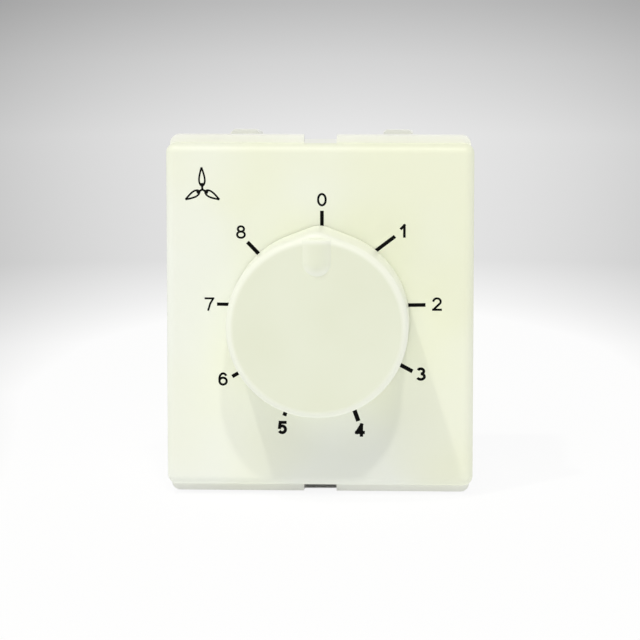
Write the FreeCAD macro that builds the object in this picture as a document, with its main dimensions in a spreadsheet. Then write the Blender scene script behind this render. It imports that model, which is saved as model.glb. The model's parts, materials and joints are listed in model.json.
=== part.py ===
import FreeCAD, Part
import math
import os

import Sketcher
from FreeCAD import Placement, Rotation, Vector

# Two-module rotary step regulator for a ceiling fan, in millimetres.
# X is to the right, Z is up and Y runs backward into the wall box. The origin is in the middle
# of the face, in the seat plane where the back of the flange rests on the wall grid.

SIZES = {
    # Face plate
    "plate_width": 45.0,
    "plate_height": 50.4,
    "plate_rise": 2.4,
    "plate_wall": 1.8,
    "plate_side_wall": 1.6,
    "plate_corner_radius": 1.4,
    "plate_edge_radius": 1.3,
    "bearing_radius": 6.5,
    "bearing_length": 1.4,
    # Flange and housing
    "flange_thickness": 2.0,
    "flange_side_step": 0.5,
    "flange_ledge": 1.15,
    "flange_corner_radius": 1.3,
    "notch_width": 4.8,
    "notch_depth": 1.75,
    "body_side_step": 0.5,
    "seat_width": 3.15,
    "body_depth": 32.0,
    "body_wall": 1.8,
    "back_wall": 2.0,
    "body_corner_radius": 2.0,
    "body_back_radius": 1.0,
    # Snap lugs that hold the flange against the grid
    "lug_pitch": 22.5,
    "lug_width": 4.3,
    "lug_crest": 0.45,
    "lug_crest_chamfer": 0.5,
    "grid_thickness": 2.2,
    "lug_crest_length": 1.5,
    "lug_arm_length": 9.0,
    "lug_arm_thickness": 1.3,
    "lug_arm_gap": 1.2,
    "lug_root_length": 2.6,
    # Snap hooks between face plate and housing
    "hook_spacing": 18.0,
    "hook_width": 5.0,
    "hook_thickness": 1.3,
    "hook_catch_depth": 4.0,
    "hook_barb_length": 2.6,
    "hook_barb_height": 1.5,
    "hook_clearance": 0.3,
    "window_clearance": 0.25,
    # Knob, its axis a little below the middle of the face
    "axis_drop": 0.5,
    "knob_radius": 13.15,
    "knob_height": 9.7,
    "knob_gap": 0.3,
    "knob_tip_angle": 21.0,
    "knob_tip_radius": 3.5,
    "knob_edge_radius": 1.0,
    "knob_wall": 1.8,
    "knob_top": 2.2,
    "knob_hub_radius": 5.0,
    "knob_rib_width": 1.2,
    "knob_rib_height": 4.0,
    # Half-round pointer rib on the knob's face
    "pointer_width": 4.1,
    "pointer_height": 0.7,
    "pointer_start": 7.5,
    "pointer_end_radius": 0.25,
    # Rotor
    "shaft_radius": 3.0,
    "shaft_flat": 1.5,
    "shaft_end_gap": 0.5,
    "shaft_clearance": 0.03,
    "journal_radius": 4.5,
    "running_clearance": 0.05,
    "star_gap": 0.1,
    "star_radius": 11.0,
    "star_thickness": 3.0,
    "star_notch_radius": 2.2,
    "star_notch_depth": 1.1,
    "pivot_radius": 1.8,
    "pivot_end_gap": 0.2,
    "stake_radius": 0.6,
    "stake_height": 0.7,
    # Detent spring
    "leaf_thickness": 0.4,
    "leaf_width": 2.6,
    "leaf_length": 19.0,
    "leaf_nose": 2.2,
    "leaf_nose_radius": 1.0,
    "leaf_clearance": 0.06,
    "prong_width": 2.4,
    "prong_height": 1.4,
    # Wiper and contact tracks
    "wiper_thickness": 0.4,
    "wiper_drop": 1.0,
    "wiper_reach": 3.0,
    "wiper_base": 1.6,
    "wiper_foot": 1.0,
    "finger_width": 0.9,
    "track_inner": 5.0,
    "track_pitch": 1.3,
    "track_width": 1.1,
    "track_thickness": 0.15,
    "track_half_span": 17.0,
    "contact_gap": 0.05,
    # Circuit board and its screws
    "board_thickness": 1.6,
    "board_side_gap": 2.2,
    "board_end_gap": 0.3,
    "pillar_size": 6.6,
    "pilot_depth": 8.0,
    "board_screw_side_inset": 4.1,
    "board_screw_end_inset": 3.9,
    "board_screw_radius": 1.05,
    "board_screw_length": 7.0,
    "board_screw_head_radius": 2.1,
    "board_screw_crown_radius": 1.5,
    "board_screw_head_height": 1.5,
    "board_screw_slot": 0.6,
    "screw_clearance": 0.05,
    "board_hole_clearance": 0.25,
    # Capacitors
    "capacitor_end_gap": 0.6,
    "capacitor_edge_gap": 2.75,
    "capacitor_gap": 0.6,
    "capacitor_edge_radius": 0.7,
    "small_capacitor_thickness": 6.5,
    "small_capacitor_height": 14.0,
    "medium_capacitor_thickness": 8.5,
    "medium_capacitor_height": 16.0,
    "large_capacitor_thickness": 9.5,
    "large_capacitor_height": 18.0,
    "lead_radius": 0.4,
    "lead_inset": 1.25,
    "lead_clearance": 0.1,
    "lead_stub": 0.6,
    # Bleed resistors
    "resistor_radius": 1.05,
    "resistor_cap_radius": 1.25,
    "resistor_cap_length": 1.5,
    "resistor_length": 6.3,
    "resistor_standoff": 0.8,
    "resistor_hairpin_radius": 1.3,
    "resistor_lead_radius": 0.3,
    "resistor_pitch": 4.0,
    "resistor_edge_gap": 4.5,
    # Terminals
    "terminal_pitch": 17.0,
    "terminal_width": 8.0,
    "terminal_height": 7.5,
    "terminal_length": 8.0,
    "terminal_roof": 1.0,
    "terminal_edge": 0.4,
    "terminal_clearance": 0.1,
    "terminal_rib": 1.2,
    "terminal_rib_drop": 1.0,
    "wire_radius": 1.7,
    "wire_entry_clearance": 0.5,
    "wire_entry_chamfer": 0.9,
    "clamp_radius": 1.5,
    "clamp_travel": 1.6,
    "clamp_tip_gap": 0.1,
    "clamp_head_radius": 2.6,
    "clamp_head_height": 2.2,
    "clamp_slot_width": 0.9,
    "clamp_slot_depth": 1.1,
    "clamp_access_clearance": 0.5,
    # Straps
    "strap_width": 4.0,
    "strap_thickness": 0.8,
    "strap_rise": 1.4,
    "strap_seat": 1.5,
    "strap_tail_width": 2.0,
    "strap_tail_length": 0.8,
    "strap_clearance": 0.1,
}

POSITIONS = 9
STEP_ANGLE = 360.0 / POSITIONS
TRACK_COUNT = 5
LEAF_SLOPE = 45.0


class Size:
    # A length together with the spreadsheet expression that gives it

    def __init__(self, text, value):
        self.text = text
        self.value = float(value)

    def __add__(self, other):
        other = as_size(other)
        return Size(f"({self.text} + {other.text})", self.value + other.value)

    def __sub__(self, other):
        other = as_size(other)
        return Size(f"({self.text} - {other.text})", self.value - other.value)

    def __mul__(self, other):
        other = as_size(other)
        return Size(f"({self.text} * {other.text})", self.value * other.value)

    def __truediv__(self, other):
        other = as_size(other)
        return Size(f"({self.text} / {other.text})", self.value / other.value)

    def __neg__(self):
        return Size(f"(-1 * {self.text})", -self.value)

    def __radd__(self, other):
        return as_size(other) + self

    def __rsub__(self, other):
        return as_size(other) - self

    def __rmul__(self, other):
        return as_size(other) * self


def as_size(value):
    if isinstance(value, Size):
        return value
    return Size(f"({value!r})", value)


def cosine(angle):
    return Size(f"cos({angle.text})", math.cos(math.radians(angle.value)))


def sine(angle):
    return Size(f"sin({angle.text})", math.sin(math.radians(angle.value)))


class Sheet:
    # The driving dimensions by name, each one a cell of the spreadsheet

    def __init__(self, document, values):
        table = document.addObject("Spreadsheet::Sheet", "Sizes")
        for row, (name, value) in enumerate(values.items(), start=1):
            table.set(f"A{row}", name)
            table.set(f"B{row}", str(value))
            table.setAlias(f"B{row}", name)
            setattr(self, name, Size(f"Sizes.{name}", value))


doc = FreeCAD.newDocument("fan_speed_switch")
c = Sheet(doc, SIZES)
doc.recompute()


# Drawing helpers

def bind(item, path, size):
    item.setExpression(path, as_size(size).text)


def origin_feature(body, role):
    return [item for item in body.Origin.OriginFeatures if item.Role == role][0]


def new_body(label):
    body = doc.addObject("PartDesign::Body", label)
    body.Label = label
    return body


def sketch_on(body, role, name, offset=0.0):
    sketch = body.newObject("Sketcher::SketchObject", name)
    sketch.AttachmentSupport = [(origin_feature(body, role), "")]
    sketch.MapMode = "FlatFace"
    bind(sketch, "AttachmentOffset.Base.z", offset)
    return sketch


def front_sketch(body, name, depth):
    # A drawing seen from the front, at a depth behind the seat plane: x right, y up
    return sketch_on(body, "XZ_Plane", name, -as_size(depth))


def plan_sketch(body, name, level=0.0):
    # A drawing seen from above: x right, y backward
    return sketch_on(body, "XY_Plane", name, level)


def side_sketch(body, name, across=0.0):
    # A drawing seen from the side: x backward, y up
    return sketch_on(body, "YZ_Plane", name, across)


def place_point(sketch, geometry, position, x, y):
    for kind, size in (("DistanceX", as_size(x)), ("DistanceY", as_size(y))):
        row = sketch.addConstraint(Sketcher.Constraint(kind, -1, 1, geometry, position, size.value))
        bind(sketch, f"Constraints[{row}]", size)


def draw_polygon(sketch, corners):
    corners = [(as_size(x), as_size(y)) for x, y in corners]
    points = [Vector(x.value, y.value, 0) for x, y in corners]
    count = len(points)
    lines = []
    for index in range(count):
        line = Part.LineSegment(points[index], points[(index + 1) % count])
        lines.append(sketch.addGeometry(line, False))
    for index in range(count):
        following = lines[(index + 1) % count]
        sketch.addConstraint(Sketcher.Constraint("Coincident", lines[index], 2, following, 1))
    for line, (x, y) in zip(lines, corners):
        place_point(sketch, line, 1, x, y)


def draw_rectangle(sketch, left, low, right, high):
    draw_polygon(sketch, [(left, low), (right, low), (right, high), (left, high)])


def draw_centred(sketch, width, height):
    draw_rectangle(sketch, -width / 2, -height / 2, width / 2, height / 2)


def draw_circle(sketch, x, y, radius):
    x = as_size(x)
    y = as_size(y)
    radius = as_size(radius)
    circle = Part.Circle(Vector(x.value, y.value, 0), Vector(0, 0, 1), radius.value)
    geometry = sketch.addGeometry(circle, False)
    row = sketch.addConstraint(Sketcher.Constraint("Radius", geometry, radius.value))
    bind(sketch, f"Constraints[{row}]", radius)
    place_point(sketch, geometry, 3, x, y)


def extrude(body, kind, sketch, length, reverse=False, middle=False):
    feature = body.newObject("PartDesign::" + kind, sketch.Name + "_" + kind.lower())
    feature.Profile = sketch
    feature.Reversed = reverse
    if middle:
        feature.SideType = "Symmetric"
    bind(feature, "Length", length)
    return feature


def pad(body, sketch, length, reverse=False, middle=False):
    return extrude(body, "Pad", sketch, length, reverse, middle)


def pocket(body, sketch, length, reverse=False, middle=False):
    return extrude(body, "Pocket", sketch, length, reverse, middle)


def revolve(body, sketch, axis_role):
    feature = body.newObject("PartDesign::Revolution", sketch.Name + "_turned")
    feature.Profile = sketch
    feature.ReferenceAxis = (origin_feature(body, axis_role), [""])
    feature.Angle = 360.0
    return feature


def dress_edges(body, kind, name, path, size, wanted):
    # A fillet or chamfer on those edges of the finished body that pass the test
    doc.recompute()
    base = body.Tip
    names = [f"Edge{number}" for number, edge in enumerate(base.Shape.Edges, start=1) if wanted(edge)]
    feature = body.newObject("PartDesign::" + kind, name)
    feature.Base = (base, names)
    bind(feature, path, size)
    return feature


def fillet(body, name, radius, wanted):
    return dress_edges(body, "Fillet", name, "Radius", radius, wanted)


def chamfer(body, name, size, wanted):
    return dress_edges(body, "Chamfer", name, "Size", size, wanted)


def near(first, second):
    return abs(first - as_size(second).value) < 1e-4


def runs_along(edge, axis):
    if not isinstance(edge.Curve, Part.Line):
        return False
    return abs(edge.Curve.Direction.dot(axis)) > 0.9999


def is_round(edge, radius):
    return isinstance(edge.Curve, Part.Circle) and near(edge.Curve.Radius, radius)


def lies_at_depth(edge, depth):
    return near(edge.BoundBox.YMin, depth) and near(edge.BoundBox.YMax, depth)


def at_corner(edge, half_width, half_height):
    middle = edge.CenterOfMass
    return near(abs(middle.x), half_width) and near(abs(middle.z), half_height)


ALONG_X = Vector(1, 0, 0)
ALONG_Y = Vector(0, 1, 0)
ALONG_Z = Vector(0, 0, 1)
BACKWARD = Rotation(ALONG_X, -90)
FORWARD = Rotation(ALONG_X, 90)
UPWARD = Rotation()


def set_place(item, x, y, z, rotation=UPWARD):
    item.Placement = Placement(Vector(as_size(x).value, as_size(y).value, as_size(z).value), rotation)
    bind(item, "Placement.Base.x", x)
    bind(item, "Placement.Base.y", y)
    bind(item, "Placement.Base.z", z)


def rod(name, radius, length, place, rotation=BACKWARD):
    item = doc.addObject("Part::Cylinder", name)
    bind(item, "Radius", radius)
    bind(item, "Height", length)
    set_place(item, *place, rotation)
    return item


def block(name, extents, place):
    item = doc.addObject("Part::Box", name)
    for path, size in zip(("Length", "Width", "Height"), extents):
        bind(item, path, size)
    set_place(item, *place)
    return item


def fuse(label, pieces):
    item = doc.addObject("Part::MultiFuse", label)
    item.Label = label
    item.Shapes = pieces
    return item


def cut(label, base, tool):
    item = doc.addObject("Part::Cut", label)
    item.Label = label
    item.Base = base
    item.Tool = tool
    return item


def group(label, pieces):
    item = doc.addObject("Part::Compound", label)
    item.Label = label
    item.Links = pieces
    return item


# Places that several pieces share

flange_width = c.plate_width - c.flange_side_step * 2
flange_height = c.plate_height + c.flange_ledge * 2
body_width = flange_width - c.body_side_step * 2
body_height = flange_height - c.seat_width * 2
inner_width = body_width - c.body_wall * 2
inner_height = body_height - c.body_wall * 2
inner_back = c.body_depth - c.back_wall

plate_back = -c.flange_thickness
plate_front = plate_back - c.plate_rise
plate_inside = plate_front + c.plate_wall

bearing_end = plate_inside + c.bearing_length
star_front = bearing_end + c.star_gap
star_back = star_front + c.star_thickness

contact_depth = star_back + c.wiper_thickness + c.wiper_drop
board_front = contact_depth + c.contact_gap + c.track_thickness
board_back = board_front + c.board_thickness
board_width = inner_width - c.board_side_gap * 2
board_height = inner_height - c.board_end_gap * 2

axis_level = -c.axis_drop
knob_back = plate_front - c.knob_gap
knob_front = knob_back - c.knob_height
knob_ceiling = knob_front + c.knob_top
shaft_end = knob_ceiling + c.shaft_end_gap

screw_across = inner_width / 2 - c.board_screw_side_inset
screw_level = inner_height / 2 - c.board_screw_end_inset
corners = [(side, level) for side in (-1, 1) for level in (-1, 1)]

capacitor_length = inner_width - (c.pillar_size + c.capacitor_end_gap) * 2
lead_across = capacitor_length / 2 - c.lead_inset
resistor_level = -board_height / 2 + c.resistor_edge_gap

terminal_low = -inner_height / 2 + c.clamp_head_height + c.clamp_travel
terminal_back = inner_back - c.terminal_clearance
terminal_front = terminal_back - c.terminal_length
terminal_middle = terminal_back - c.terminal_length / 2
wire_level = terminal_low + c.terminal_height - c.terminal_roof - c.wire_radius
strap_low = terminal_low + c.strap_rise
sides = {"line": -1, "load": 1}

leaf_low = c.star_radius - c.star_notch_depth + c.leaf_clearance + c.leaf_nose
leaf_front = star_front + (c.star_thickness - c.leaf_width) / 2


def hook_profile(side):
    # Arm along the inside of the housing's side wall, with a barb that catches in a window
    outer = inner_width / 2 - c.hook_clearance
    inner = outer - c.hook_thickness
    barb = outer + c.hook_barb_height
    catch = c.hook_catch_depth
    end = catch + c.hook_barb_length
    shape = [
        (inner, plate_inside),
        (outer, plate_inside),
        (outer, catch),
        (barb, catch),
        (barb, catch + c.hook_thickness / 2),
        (outer, end),
        (inner, end),
    ]
    return [(x * side, y) for x, y in shape]


def make_front_plate():
    body = new_body("front_plate")
    outline = front_sketch(body, "plate_outline", plate_back)
    draw_centred(outline, c.plate_width, c.plate_height)
    pad(body, outline, c.plate_rise)
    half_width = c.plate_width / 2
    half_height = c.plate_height / 2
    fillet(body, "plate_corners", c.plate_corner_radius,
           lambda edge: runs_along(edge, ALONG_Y) and at_corner(edge, half_width, half_height))
    fillet(body, "plate_face_edge", c.plate_edge_radius,
           lambda edge: lies_at_depth(edge, plate_front))

    recess = front_sketch(body, "plate_recess", plate_back)
    draw_centred(recess, c.plate_width - c.plate_side_wall * 2, c.plate_height - c.plate_side_wall * 2)
    pocket(body, recess, c.plate_rise - c.plate_wall, reverse=True)

    bearing = front_sketch(body, "shaft_bearing", plate_inside)
    draw_circle(bearing, 0, axis_level, c.bearing_radius)
    pad(body, bearing, c.bearing_length, reverse=True)
    hole = front_sketch(body, "shaft_hole", plate_front)
    draw_circle(hole, 0, axis_level, c.journal_radius + c.running_clearance)
    pocket(body, hole, c.plate_wall + c.bearing_length)

    for side, level in corners:
        name = "hook_" + ("right" if side > 0 else "left") + ("_high" if level > 0 else "_low")
        hook = plan_sketch(body, name, c.hook_spacing / 2 * level)
        draw_polygon(hook, hook_profile(side))
        pad(body, hook, c.hook_width, middle=True)

    prongs = front_sketch(body, "spring_prongs", plate_inside)
    low = axis_level + leaf_low - c.leaf_clearance
    high = axis_level + leaf_low + c.leaf_thickness + c.leaf_clearance
    for side in (-1, 1):
        outer = c.leaf_length / 2 * side
        inner = outer - c.prong_width * side
        draw_rectangle(prongs, inner, low - c.prong_height, outer, low)
        draw_rectangle(prongs, inner, high, outer, high + c.prong_height)
    pad(body, prongs, leaf_front + c.leaf_width - plate_inside, reverse=True)
    return body


def lug_profile(level):
    # Forward-pointing arm rooted on the wall, with a nose that catches behind the grid
    wall = body_height / 2
    under = wall + c.lug_arm_gap
    over = under + c.lug_arm_thickness
    crest = flange_height / 2 + c.lug_crest
    nose = c.grid_thickness
    root = nose + c.lug_arm_length
    shape = [
        (nose, under),
        (nose, crest),
        (nose + c.lug_crest_length, crest),
        (root, over),
        (root + c.lug_root_length, wall),
        (root + c.lug_root_length, wall - c.body_wall / 2),
        (root, wall - c.body_wall / 2),
        (root, under),
    ]
    return [(y, z * level) for y, z in shape]


def make_housing():
    body = new_body("housing")
    flange = front_sketch(body, "flange", 0)
    draw_centred(flange, flange_width, flange_height)
    pad(body, flange, c.flange_thickness)
    fillet(body, "flange_corners", c.flange_corner_radius,
           lambda edge: runs_along(edge, ALONG_Y) and at_corner(edge, flange_width / 2, flange_height / 2))

    box = front_sketch(body, "box", 0)
    draw_centred(box, body_width, body_height)
    pad(body, box, c.body_depth, reverse=True)
    fillet(body, "box_corners", c.body_corner_radius,
           lambda edge: runs_along(edge, ALONG_Y) and at_corner(edge, body_width / 2, body_height / 2))
    fillet(body, "box_back_edge", c.body_back_radius,
           lambda edge: lies_at_depth(edge, c.body_depth))

    cavity = front_sketch(body, "cavity", plate_back)
    draw_centred(cavity, inner_width, inner_height)
    pocket(body, cavity, c.flange_thickness + inner_back)

    pillars = front_sketch(body, "pillars", inner_back)
    for side, level in corners:
        outer = (inner_width / 2 + c.body_wall / 2) * side
        inner = (inner_width / 2 - c.pillar_size) * side
        high = (inner_height / 2 + c.body_wall / 2) * level
        low = (inner_height / 2 - c.pillar_size) * level
        draw_rectangle(pillars, inner, low, outer, high)
    pad(body, pillars, inner_back - board_back)
    pilots = front_sketch(body, "pilot_holes", board_back)
    for side, level in corners:
        draw_circle(pilots, screw_across * side, screw_level * level, c.board_screw_radius + c.screw_clearance)
    pocket(body, pilots, c.pilot_depth)

    pocket_length = c.terminal_length + c.terminal_clearance
    half_slot = c.terminal_width / 2 + c.terminal_clearance
    half_pocket = half_slot + c.terminal_rib
    rib_top = terminal_low + c.terminal_height - c.terminal_rib_drop
    bottom = -inner_height / 2
    ribs = front_sketch(body, "terminal_ribs", inner_back)
    slots = front_sketch(body, "terminal_slots", inner_back - pocket_length)
    wires = front_sketch(body, "wire_entries", c.body_depth)
    access = plan_sketch(body, "screw_access", -body_height / 2)
    for side in sides.values():
        middle = c.terminal_pitch / 2 * side
        draw_rectangle(ribs, middle - half_pocket, bottom - c.body_wall / 2, middle + half_pocket, rib_top)
        draw_rectangle(slots, middle - half_slot, terminal_low, middle + half_slot, rib_top + c.terminal_rib)
        draw_circle(wires, middle, wire_level, c.wire_radius + c.wire_entry_clearance)
        draw_circle(access, middle, terminal_middle, c.clamp_head_radius + c.clamp_access_clearance)
    pad(body, ribs, pocket_length)
    pocket(body, slots, pocket_length)
    pocket(body, wires, c.back_wall, reverse=True)
    pocket(body, access, terminal_low + body_height / 2, reverse=True)
    entry_radius = c.wire_radius + c.wire_entry_clearance
    chamfer(body, "wire_funnels", c.wire_entry_chamfer,
            lambda edge: is_round(edge, entry_radius) and lies_at_depth(edge, c.body_depth))

    windows = side_sketch(body, "hook_windows")
    front = c.hook_catch_depth - c.window_clearance
    back = c.hook_catch_depth + c.hook_barb_length + c.window_clearance
    half_window = c.hook_width / 2 + c.window_clearance
    for level in (-1, 1):
        middle = c.hook_spacing / 2 * level
        draw_rectangle(windows, front, middle - half_window, back, middle + half_window)
    pocket(body, windows, body_width + c.body_wall, middle=True)

    notches = front_sketch(body, "pry_notches", plate_back)
    for level in (-1, 1):
        edge = flange_height / 2 * level
        draw_rectangle(notches, -c.notch_width / 2, edge - c.notch_depth * level,
                       c.notch_width / 2, edge + c.notch_depth * level)
    pocket(body, notches, c.flange_thickness)

    for side, level in corners:
        name = "lug_" + ("right" if side > 0 else "left") + ("_high" if level > 0 else "_low")
        lug = side_sketch(body, name, c.lug_pitch / 2 * side)
        draw_polygon(lug, lug_profile(level))
        pad(body, lug, c.lug_width, middle=True)
    crest = flange_height / 2 + c.lug_crest
    chamfer(body, "lug_crests", c.lug_crest_chamfer,
            lambda edge: runs_along(edge, ALONG_Y) and near(abs(edge.CenterOfMass.z), crest))
    return body


def make_knob():
    body = new_body("knob")
    disc = front_sketch(body, "knob_disc", knob_back)
    draw_circle(disc, 0, 0, c.knob_radius)
    pad(body, disc, c.knob_height)
    tip_height = c.knob_radius / cosine(c.knob_tip_angle)
    touch_across = c.knob_radius * sine(c.knob_tip_angle)
    touch_level = c.knob_radius * cosine(c.knob_tip_angle)
    tip = front_sketch(body, "knob_tip", knob_back)
    draw_polygon(tip, [(0, 0), (touch_across, touch_level), (0, tip_height), (-touch_across, touch_level)])
    pad(body, tip, c.knob_height)
    fillet(body, "knob_tip_round", c.knob_tip_radius,
           lambda edge: runs_along(edge, ALONG_Y) and near(edge.CenterOfMass.z, tip_height))
    fillet(body, "knob_face_edge", c.knob_edge_radius,
           lambda edge: lies_at_depth(edge, knob_front))

    # The rib is the front of a round-ended rod that lies mostly below the face
    half_width = c.pointer_width / 2
    rod_radius = (half_width * half_width + c.pointer_height * c.pointer_height) / (c.pointer_height * 2)
    rod_depth = knob_front - c.pointer_height + rod_radius
    rod_start = c.pointer_start + half_width
    tip_rounding = c.knob_tip_radius / cosine(c.knob_tip_angle) - c.knob_tip_radius
    rod_end = tip_height - tip_rounding - c.knob_edge_radius
    pointer = plan_sketch(body, "pointer_rib", rod_start)
    draw_circle(pointer, 0, rod_depth, rod_radius)
    pad(body, pointer, rod_end - rod_start)
    ball = body.newObject("PartDesign::AdditiveSphere", "pointer_round_end")
    bind(ball, "Radius", rod_radius)
    set_place(ball, 0, rod_depth, rod_start)
    fillet(body, "pointer_tip_edge", c.pointer_end_radius,
           lambda edge: is_round(edge, rod_radius) and near(edge.BoundBox.ZMin, rod_end)
           and edge.CenterOfMass.y < knob_front.value)

    hollow = front_sketch(body, "knob_hollow", knob_back)
    draw_circle(hollow, 0, 0, c.knob_radius - c.knob_wall)
    pocket(body, hollow, c.knob_height - c.knob_top, reverse=True)
    ribs = front_sketch(body, "knob_ribs", knob_ceiling)
    reach = c.knob_radius - c.knob_wall / 2
    draw_rectangle(ribs, -reach, -c.knob_rib_width / 2, reach, c.knob_rib_width / 2)
    pad(body, ribs, c.knob_rib_height, reverse=True)
    cross_rib = front_sketch(body, "knob_cross_rib", knob_ceiling)
    draw_rectangle(cross_rib, -c.knob_rib_width / 2, -reach, c.knob_rib_width / 2, reach)
    pad(body, cross_rib, c.knob_rib_height, reverse=True)
    hub = front_sketch(body, "knob_hub", knob_ceiling)
    draw_circle(hub, 0, 0, c.knob_hub_radius)
    pad(body, hub, c.knob_height - c.knob_top, reverse=True)
    bore_radius = c.shaft_radius + c.shaft_clearance
    bore_length = c.knob_height - c.knob_top
    bore = front_sketch(body, "knob_bore", knob_back)
    draw_circle(bore, 0, 0, bore_radius)
    pocket(body, bore, bore_length, reverse=True)
    key = front_sketch(body, "knob_key", knob_back)
    key_low = c.shaft_radius - c.shaft_flat + c.shaft_clearance
    draw_rectangle(key, -bore_radius, key_low, bore_radius, (c.shaft_radius + c.knob_hub_radius) / 2)
    pad(body, key, bore_length)
    set_place(body, 0, 0, axis_level)
    return body


def make_rotor():
    body = new_body("rotor")
    profile = plan_sketch(body, "rotor_profile")
    pivot_end = board_back - c.pivot_end_gap
    draw_polygon(profile, [
        (0, shaft_end),
        (c.shaft_radius, shaft_end),
        (c.shaft_radius, knob_back),
        (c.journal_radius, knob_back),
        (c.journal_radius, star_front),
        (c.star_radius, star_front),
        (c.star_radius, star_back),
        (c.pivot_radius, star_back),
        (c.pivot_radius, pivot_end),
        (0, pivot_end),
    ])
    revolve(body, profile, "Y_Axis")
    flat = front_sketch(body, "shaft_flat", shaft_end)
    draw_rectangle(flat, -c.shaft_radius, c.shaft_radius - c.shaft_flat,
                   c.shaft_radius, c.shaft_radius + c.shaft_flat)
    pocket(body, flat, knob_back - shaft_end)
    stakes = front_sketch(body, "wiper_stakes", star_back)
    for place in stake_places():
        draw_circle(stakes, *place, c.stake_radius)
    pad(body, stakes, c.stake_height, reverse=True)
    notch = front_sketch(body, "star_notch", star_front)
    draw_circle(notch, 0, c.star_radius - c.star_notch_depth + c.star_notch_radius, c.star_notch_radius)
    first_notch = pocket(body, notch, c.star_thickness)
    doc.recompute()
    star = body.newObject("PartDesign::PolarPattern", "star_notches")
    star.Originals = [first_notch]
    star.Axis = (origin_feature(body, "Y_Axis"), [""])
    star.Angle = 360.0
    star.Occurrences = POSITIONS
    body.Tip = star
    set_place(body, 0, 0, axis_level)
    return body


def stake_places():
    across = -(c.wiper_reach + c.wiper_base / 2)
    return [(across, c.track_inner + c.track_pitch * ring) for ring in (1, TRACK_COUNT - 2)]


def make_wiper():
    body = new_body("wiper")
    base = front_sketch(body, "wiper_base", star_back)
    comb_length = c.track_pitch * (TRACK_COUNT - 1)
    low = c.track_inner - c.finger_width / 2
    high = c.track_inner + comb_length + c.finger_width / 2
    draw_rectangle(base, -c.wiper_reach - c.wiper_base, low, -c.wiper_reach, high)
    for place in stake_places():
        draw_circle(base, *place, c.stake_radius + c.screw_clearance)
    pad(body, base, c.wiper_thickness, reverse=True)
    front = star_back
    back = star_back + c.wiper_thickness
    foot = c.wiper_foot / 2
    lean = c.wiper_thickness / 2
    finger = plan_sketch(body, "wiper_finger", low)
    draw_polygon(finger, [
        (-c.wiper_reach - lean, front),
        (-c.wiper_reach, front),
        (-foot + lean, front + c.wiper_drop),
        (foot, front + c.wiper_drop),
        (foot + lean, front + c.wiper_drop - lean),
        (foot + lean * 2, front + c.wiper_drop),
        (foot, back + c.wiper_drop),
        (-foot, back + c.wiper_drop),
        (-c.wiper_reach - lean, back),
    ])
    first_finger = pad(body, finger, c.finger_width)
    doc.recompute()
    comb = body.newObject("PartDesign::LinearPattern", "wiper_comb")
    comb.Originals = [first_finger]
    comb.Direction = (origin_feature(body, "Z_Axis"), [""])
    bind(comb, "Length", comb_length)
    comb.Occurrences = TRACK_COUNT
    body.Tip = comb
    set_place(body, 0, 0, axis_level)
    return body


def make_detent_spring():
    # The nose slopes alike on both sides; the upper outline is the lower one offset
    body = new_body("detent_spring")
    half = c.leaf_length / 2
    high = leaf_low + c.leaf_thickness
    corner = c.leaf_thickness * math.tan(math.radians(LEAF_SLOPE / 2))
    tip = leaf_low - c.leaf_nose * math.tan(math.radians(LEAF_SLOPE))
    tip_thickness = c.leaf_thickness / math.cos(math.radians(LEAF_SLOPE))
    shape = front_sketch(body, "leaf_shape", leaf_front)
    draw_polygon(shape, [
        (-half, leaf_low),
        (-c.leaf_nose, leaf_low),
        (0, tip),
        (c.leaf_nose, leaf_low),
        (half, leaf_low),
        (half, high),
        (c.leaf_nose - corner, high),
        (0, tip + tip_thickness),
        (-c.leaf_nose + corner, high),
        (-half, high),
    ])
    pad(body, shape, c.leaf_width, reverse=True)
    fillet(body, "leaf_nose_round", c.leaf_nose_radius,
           lambda edge: runs_along(edge, ALONG_Y) and near(edge.CenterOfMass.z, tip))
    set_place(body, 0, 0, axis_level)
    return body


def make_circuit_board():
    body = new_body("circuit_board")
    outline = front_sketch(body, "board_outline", board_front)
    draw_centred(outline, board_width, board_height)
    pad(body, outline, c.board_thickness, reverse=True)
    holes = front_sketch(body, "board_holes", board_front)
    draw_circle(holes, 0, axis_level, c.pivot_radius + c.running_clearance)
    for side, level in corners:
        draw_circle(holes, screw_across * side, screw_level * level, c.board_screw_radius + c.board_hole_clearance)
    for low, thickness, _ in capacitor_rows().values():
        for side in (-1, 1):
            draw_circle(holes, lead_across * side, low + thickness / 2, c.lead_radius + c.lead_clearance)
    for across in resistor_places().values():
        for level in (resistor_level, resistor_level + c.resistor_hairpin_radius * 2):
            draw_circle(holes, across, level, c.resistor_lead_radius + c.lead_clearance)
    for side in sides.values():
        middle = c.terminal_pitch / 2 * side
        half = c.strap_tail_width / 2 + c.strap_clearance
        draw_rectangle(holes, middle - half, strap_low - c.strap_clearance,
                       middle + half, strap_low + c.strap_thickness + c.strap_clearance)
    pocket(body, holes, c.board_thickness)
    return body


def make_track(name, ring, first, last):
    # One arc of contact metal from the first to the last position that it serves
    radius = c.track_inner + c.track_pitch * ring
    start = 90.0 - STEP_ANGLE * last - c.track_half_span.value
    turned = FORWARD.multiply(Rotation(ALONG_Z, start))
    sweep = c.track_half_span * 2 + STEP_ANGLE * (last - first)
    if last - first >= POSITIONS:
        sweep = as_size(360.0)
    middle = (0, board_front, axis_level)
    outer = rod(name + "_outer", radius + c.track_width / 2, c.track_thickness, middle, turned)
    bind(outer, "Angle", sweep)
    inner = rod(name + "_inner", radius - c.track_width / 2, c.track_thickness, middle, turned)
    return cut(name, outer, inner)


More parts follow.
